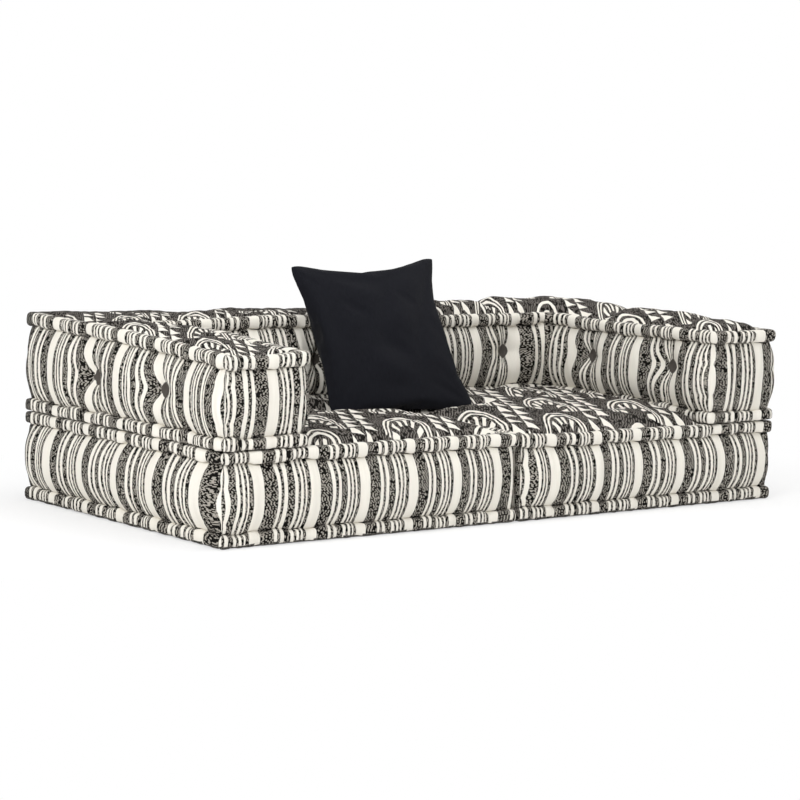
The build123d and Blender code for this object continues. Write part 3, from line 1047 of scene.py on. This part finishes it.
striped = striped_cloth()
printed = printed_cloth()
plain = plain_cloth("plain_cloth", PLAIN, PLAIN_SHADE)
patch_cloth = plain_cloth("tuft_cloth", TUFT_CLOTH, TUFT_CLOTH_SHADE)
pillow_cloth = plain_cloth("pillow_cloth", NAVY_BLACK, NAVY_SHADE, PILLOW_THREAD, roughness=0.85, sheen=0.04)

# The loose pillow, and its place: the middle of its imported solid, moved a little to the left and down
PILLOW_WIDTH = 0.512
PILLOW_HEIGHT = 0.51
PILLOW_THICKNESS = 0.14
PILLOW_LEAN = radians(28.5)
PILLOW_YAW = radians(-10.0)
PILLOW_ROLL = radians(3.0)
PILLOW_SINK = 0.018
PILLOW_ASIDE = 0.006

# The dent that the pillow's foot leaves in the seats: clearance, half width and slope
FOOT_CLEARANCE = 0.003
FOOT_HALF = 0.012
FOOT_SLOPE = 0.55


def pillow_frame():
    """The middle of the leaning pillow and its ways across, up and out."""
    across = Vector((cos(PILLOW_YAW), sin(PILLOW_YAW), 0))
    facing = Vector((sin(PILLOW_YAW), -cos(PILLOW_YAW), 0))
    up = Vector((0, 0, 1)) * cos(PILLOW_LEAN) - facing * sin(PILLOW_LEAN)
    x_way = across * cos(PILLOW_ROLL) + up * sin(PILLOW_ROLL)
    z_way = across.cross(up)
    low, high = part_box("pillow_insert")
    middle = (low + high) / 2 - Vector((PILLOW_ASIDE, 0, PILLOW_SINK))
    return middle, x_way, z_way.cross(x_way), z_way


def pillow_foot_limit(x, y):
    """How high the seats may rise under the pillow's foot."""
    middle, x_way, y_way, _ = pillow_frame()
    first = middle - x_way * (PILLOW_WIDTH / 2) - y_way * (PILLOW_HEIGHT / 2)
    last = first + x_way * PILLOW_WIDTH
    run = np.array((last.x - first.x, last.y - first.y))
    share = np.clip(((x - first.x) * run[0] + (y - first.y) * run[1]) / (run @ run), 0, 1)
    far = np.hypot(x - first.x - share * run[0], y - first.y - share * run[1])
    return first.z + share * (last.z - first.z) - FOOT_CLEARANCE + FOOT_SLOPE * np.maximum(far - FOOT_HALF, 0)


# Pieces of the cushions
def printed_top(cushion):
    """The printed top of a cushion, swollen between its sewn edges."""
    seat = cushion.kind == "seat"
    xs, ys, on_panel = panel_lines(cushion, PANEL_SPACING, even=seat)
    grid = np.meshgrid(xs, ys, indexing="ij")
    _, grid_far = edge_distance(cushion, *grid)
    free = on_panel(*grid) & (grid_far > ROLL_WIDTH)
    swell = inflate(free, SEAT_SPRING) if seat else inflate(free) ** SURROUND_FULLNESS
    crown = SEAT_CROWN if seat else SURROUND_CROWNS[cushion.side]
    soft = np.clip(swell * SOFT_EDGE, 0, 1)
    groove_depth, groove_reach = GROOVES[cushion.kind]

    def height_at(x, y):
        s, far = edge_distance(cushion, x, y)
        inward = np.maximum(far - ROLL_WIDTH + GROOVE_SHIFT, 0)
        gather = cushion.dips(s, cushion.upper, TOP_SHARPNESS)
        flat = cushion.top_at(x, y)
        z = flat - groove_depth * np.exp(-inward / groove_reach)
        z = z - TOP_PUCKER[0] * gather * np.exp(-inward / TOP_PUCKER[1])
        drawn = 0.0
        for axis, at, start, end in cushion.valleys:
            a, b = (y, x) if axis == "y" else (x, y)
            drawn = np.maximum(drawn, (b > start) * (b < end) * bell(a - at, VALLEY_WIDTH))
        z = z + crown * swell * (1 - VALLEY_SHARE * drawn)
        z = z + soft * waves(x, y, TOP_DIMPLES[cushion.kind], cushion.seed)
        z = z + soft * waves(x, y, TOP_CREASES[cushion.kind], cushion.seed)
        if seat:
            to_surround = np.minimum(-cushion.away * (x - cushion.arm_x), cushion.rest_y - y)
            well = np.clip(to_surround / SEAT_WELL, 0, 1) ** WELL_ROUNDNESS
            z = flat - SEAT_SUNK + (z - flat + SEAT_SUNK) * well
            z = np.minimum(z, pillow_foot_limit(x, y))
        drift = waves(x, y, PRINT_WAVES, cushion.seed)
        return z, *print_place(x + drift, y + drift, PRINT_SCALES[cushion.kind])

    piece = panel_piece(
        f"{cushion.name}_printed_top", cushion, xs, ys, on_panel, height_at,
        lambda x, y: cushion.top_at(x, y) - PANEL_DEPTH, printed)
    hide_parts(f"{cushion.name}_top_panel")


def underside(cushion):
    """The plain panel under a cushion, flat on what it rests on."""
    xs, ys, on_panel = panel_lines(cushion, UNDERSIDE_SPACING)

    def height_at(x, y):
        return cushion.base_at(x, y) + UNDERSIDE_DEPTH, x, y

    piece = panel_piece(
        f"{cushion.name}_underside", cushion, xs, ys, on_panel, height_at,
        lambda x, y: cushion.base_at(x, y) + UNDERSIDE_LIFT, plain)
    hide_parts(f"{cushion.name}_bottom_panel")


def tuft_patches(cushion):
    """A small plain patch in each pit, held by the tie behind it."""
    steps = PATCH_STEPS
    a, b, on_rim = square_grid(steps)
    bowed_a, bowed_b = a * (1 - PATCH_BOW * b ** 2), b * (1 - PATCH_BOW * a ** 2)
    across = PATCH_HALF * (bowed_a + bowed_b) / PATCH_ACROSS
    up = PATCH_HALF * (bowed_b - bowed_a) / PATCH_UP
    lift = np.where(on_rim, -PATCH_RIM_SUNK, PATCH_LIFT)
    front = grid_quads(steps, steps)
    ends = np.arange(steps)
    last = steps * (steps - 1)
    rim = np.concatenate((ends, steps * ends[1:] + steps - 1, last + ends[-2::-1], steps * ends[-2:0:-1]))
    following = np.roll(rim, -1)
    behind = steps * steps
    sides = np.stack((rim, following, following + behind, rim + behind), 1)
    places, faces, cloth = [], [], []
    for s0, z0 in cushion.tufts:
        s = s0 + across
        low, high = cushion.seam_heights(s)
        inset, z, _ = cushion.band(s, np.clip((z0 + up - low) / (high - low), 0, 1))
        start = len(places) * behind
        for depth in (inset - lift, inset + PATCH_BACK):
            places.append(np.stack((*cushion.place(s, depth), z), 2).reshape(-1, 3))
            cloth.append(np.stack((across, up, 0 * up), 2).reshape(-1, 3))
        faces += [front + start, front[:, ::-1] + start + behind, sides + start]
    cloth = np.concatenate(cloth)[np.concatenate([f.ravel() for f in faces])]
    places = np.concatenate(places)
    piece = new_piece(f"{cushion.name}_tufts", places, faces, cloth, patch_cloth, cushion.name)
    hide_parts(f"{cushion.name}_tuft_pads", f"{cushion.name}_tuft_twines")


for cushion in (SEAT_LEFT, SEAT_RIGHT, LEFT, RIGHT):
    name = cushion.name
    cores = [f"{name}_core"] if cushion.kind == "seat" else [f"{name}_arm_core", f"{name}_back_core"]
    cushion.make_band([f"{name}_boxing"] + cores)
    cushion.make_roll("upper", [f"{name}_top_roll"])
    cushion.make_roll("lower", [f"{name}_bottom_roll"])
    underside(cushion)
for cushion in (SEAT_LEFT, SEAT_RIGHT):
    printed_top(cushion)
for cushion in (LEFT, RIGHT):
    printed_top(cushion)
    tuft_patches(cushion)


# The pillow's steps, the rise and the drawn-in corners of its flat cover, and the frames of its filling
PILLOW_STEPS = 56
PILLOW_FRAMES = 18
PILLOW_RISE = 0.03
COVER_DRAWN, COVER_POWER = 0.02, 12

# How far each side draws in, as shares of its half: left, right, foot and head; more near the head
PILLOW_DRAWN = (0.07, 0.15, 0.0, 0.13)
HEAD_DRAWN = 0.3

# How far the lower left corner is tucked in
PILLOW_TUCK = 0.02

# How blunt the corners are, from what sum of the ways out to both sides, and how that grows
BLUNT = 0.055
BLUNT_START = 1.78
BLUNT_POWER = 1.5


def fill_with_air(places, faces):
    """Blows up a sewn cloth cover and returns where its points come to rest."""
    mesh = bpy.data.meshes.new("blank")
    mesh.from_pydata(places.tolist(), [], faces.tolist())
    blank = new_object("blank", mesh)
    cloth = blank.modifiers.new("filling", "CLOTH")
    settings = cloth.settings
    settings.quality = 8
    settings.mass = 0.3
    settings.tension_stiffness = settings.compression_stiffness = 40
    settings.shear_stiffness = 20
    settings.bending_stiffness = 0.5
    settings.use_pressure = True
    settings.uniform_pressure_force = 1.5
    settings.effector_weights.gravity = 0.0
    for frame_number in range(1, PILLOW_FRAMES + 1):
        bpy.context.scene.frame_set(frame_number)
    filled = blank.evaluated_get(bpy.context.evaluated_depsgraph_get()).to_mesh()
    rest = np.zeros(len(filled.vertices) * 3, np.float32)
    filled.vertices.foreach_get("co", rest)
    bpy.data.objects.remove(blank)
    bpy.context.scene.frame_set(1)
    return rest.reshape(-1, 3).astype(float)


def sewn_cover():
    """The points and faces of two squares of cloth sewn together at their rims."""
    a, b, on_rim = square_grid(PILLOW_STEPS)
    rise = PILLOW_RISE * (1 - a ** 2) * (1 - b ** 2) * (1 + waves(a, b, PILLOW_WAVES))
    half = PILLOW_HEIGHT / 2 * (1 - COVER_DRAWN * (a * b) ** COVER_POWER)
    front, back = (np.stack((half * a, half * b, z), -1).reshape(-1, 3) for z in (rise, -rise))
    quads = grid_quads(PILLOW_STEPS, PILLOW_STEPS)
    rim = np.flatnonzero(on_rim)
    renumber = np.arange(a.size) + a.size
    renumber[rim] = rim
    faces = np.concatenate((quads, renumber[quads][:, ::-1]))
    used, packed = np.unique(faces, return_inverse=True)
    return np.concatenate((front, back))[used], packed.reshape(faces.shape)


def make_pillow():
    """The filled cover, drawn in along its sides and leaning in its place."""
    flat, faces = sewn_cover()
    full = fill_with_air(flat, faces)
    full *= np.array((2, 2, PILLOW_THICKNESS)) / np.ptp(full, axis=0)
    a, b = full[:, 0].copy(), full[:, 1].copy()
    left, right, foot, head = PILLOW_DRAWN
    corner = np.clip((np.abs(a) + np.abs(b) - BLUNT_START) / (2 - BLUNT_START), 0, 1)
    blunt = 1 - BLUNT * corner ** BLUNT_POWER
    across_drawn = np.where(a < 0, left, right) * (1 - np.abs(b) ** 3) * (1 + HEAD_DRAWN * b)
    up_drawn = np.where(b < 0, foot, head) * (1 - a ** 2)
    full[:, 0] = PILLOW_WIDTH / 2 * blunt * a * (1 - across_drawn)
    full[:, 1] = PILLOW_HEIGHT / 2 * blunt * b * (1 - up_drawn)
    full[:, 0] += PILLOW_TUCK * np.clip((1 - a) * (1 - b) / 4, 0, 1) ** 2
    middle, x_way, y_way, z_way = pillow_frame()
    places = full @ np.array(Matrix((x_way, y_way, z_way))) + np.array(middle)
    cloth = np.stack((flat[:, 0], flat[:, 1], 0 * flat[:, 0]), 1)[faces.ravel()]
    piece = new_piece("loose_pillow", places, [faces], cloth, pillow_cloth, "pillow")
    smooth = piece.modifiers.new("smooth", "SUBSURF")
    smooth.levels = smooth.render_levels = 1
    finer = bpy.data.meshes.new_from_object(piece.evaluated_get(bpy.context.evaluated_depsgraph_get()))
    piece.modifiers.clear()
    piece.data = finer
    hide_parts("pillow_front_cover", "pillow_back_cover", "pillow_insert")


make_pillow()

# Floor, light and camera
FLOOR_HALF = 14.0
FLOOR_TONE = 0.95
WORLD_LIGHT = 0.62
WHITE = (1, 1, 1, 1)

# How white the floor looks near the sofa, and between what distances it turns all white, sooner along Y
FADE_NEAR = 0.5
FADE_START, FADE_END = 1.0, 1.9
FADE_ALONG_Y = 1.4

# Lamps: name, place, what they face, size and power
LAMPS = (
    ("key", (-4.6, -2.4, 3.0), (-0.3, 0, 0.3), 2.6, 150),
    ("front", (0.6, -4.8, 2.6), (0.2, 0, 0.4), 2.4, 25),
    ("top", (0.5, -0.5, 4.2), (0, 0, 0.3), 3.0, 65),
)

# The camera, fitted to the photograph: place in metres, directions in degrees, focal length in pixels of 800
CAMERA_PLACE = (-4.79, -6.06, 1.14)
CAMERA_YAW = 38.1
CAMERA_PITCH = 6.27
CAMERA_ROLL = 1.69
FOCAL_PIXELS = 2657.0
PHOTO_PIXELS = 800.0
SENSOR = 36.0


def stage_material():
    """White where the camera looks at it, with the sofa's soft shadow left near the sofa."""
    n = Nodes(bpy.data.materials.new("pale_floor"))
    white = n.add("ShaderNodeEmission", {"Color": WHITE, "Strength": 1.0})
    matt = n.add("ShaderNodeBsdfDiffuse", {"Color": (FLOOR_TONE, FLOOR_TONE, FLOOR_TONE, 1)})
    where = n.add("ShaderNodeTexCoord").outputs["Object"]
    x, y, _ = n.add("ShaderNodeSeparateXYZ", {0: where}).outputs
    y = n.times(y, FADE_ALONG_Y)
    far = n.math("SQRT", n.plus(n.times(x, x), n.times(y, y)))
    limits = {0: far, 1: FADE_START, 2: FADE_END, 3: FADE_NEAR, 4: 1.0}
    fade = n.add("ShaderNodeMapRange", limits, interpolation_type="SMOOTHSTEP").outputs[0]
    rays = n.add("ShaderNodeLightPath").outputs
    seen = n.times(n.math("MAXIMUM", rays["Is Camera Ray"], rays["Is Glossy Ray"]), fade)
    return n.end(n.add("ShaderNodeMixShader", {0: seen, 1: matt.outputs[0], 2: white.outputs[0]}))


def make_floor():
    mesh = bpy.data.meshes.new("floor")
    corners = [(FLOOR_HALF * x, FLOOR_HALF * y, 0) for x, y in ((-1, -1), (1, -1), (1, 1), (-1, 1))]
    mesh.from_pydata(corners, [], [(0, 1, 2, 3)])
    mesh.materials.append(stage_material())
    floor = new_object("floor", mesh)


def make_world():
    """White where the camera looks, and plain light from all round."""
    n = Nodes(bpy.data.worlds.new("studio"), "ShaderNodeOutputWorld")
    around = n.add("ShaderNodeBackground", {0: WHITE, 1: WORLD_LIGHT}).outputs[0]
    white = n.add("ShaderNodeBackground", {0: WHITE, 1: 1.0}).outputs[0]
    seen = n.add("ShaderNodeLightPath").outputs["Is Camera Ray"]
    bpy.context.scene.world = n.end(n.add("ShaderNodeMixShader", {0: seen, 1: around, 2: white}))


def add_lamp(name, place, target, size, power):
    lamp = bpy.data.lights.new(name, "AREA")
    lamp.size, lamp.energy = size, power
    piece = new_object(name, lamp)
    piece.location = place
    piece.rotation_mode = "QUATERNION"
    piece.rotation_quaternion = (Vector(target) - Vector(place)).to_track_quat("-Z", "Y")


def make_camera():
    data = bpy.data.cameras.new("camera")
    data.sensor_width = SENSOR
    data.lens = SENSOR * FOCAL_PIXELS / PHOTO_PIXELS
    camera = new_object("camera", data)
    yaw, pitch, roll = radians(CAMERA_YAW), radians(CAMERA_PITCH), radians(CAMERA_ROLL)
    forward = Vector((sin(yaw) * cos(pitch), cos(yaw) * cos(pitch), -sin(pitch)))
    right = Vector((cos(yaw), -sin(yaw), 0))
    up = right.cross(forward)
    right, up = right * cos(roll) + up * sin(roll), up * cos(roll) - right * sin(roll)
    turned = Matrix((right, up, -forward)).transposed().to_4x4()
    camera.matrix_world = Matrix.Translation(CAMERA_PLACE) @ turned
    bpy.context.scene.camera = camera


make_floor()
make_world()
for lamp in LAMPS:
    add_lamp(*lamp)
make_camera()
bpy.context.scene.view_settings.view_transform = "Standard"
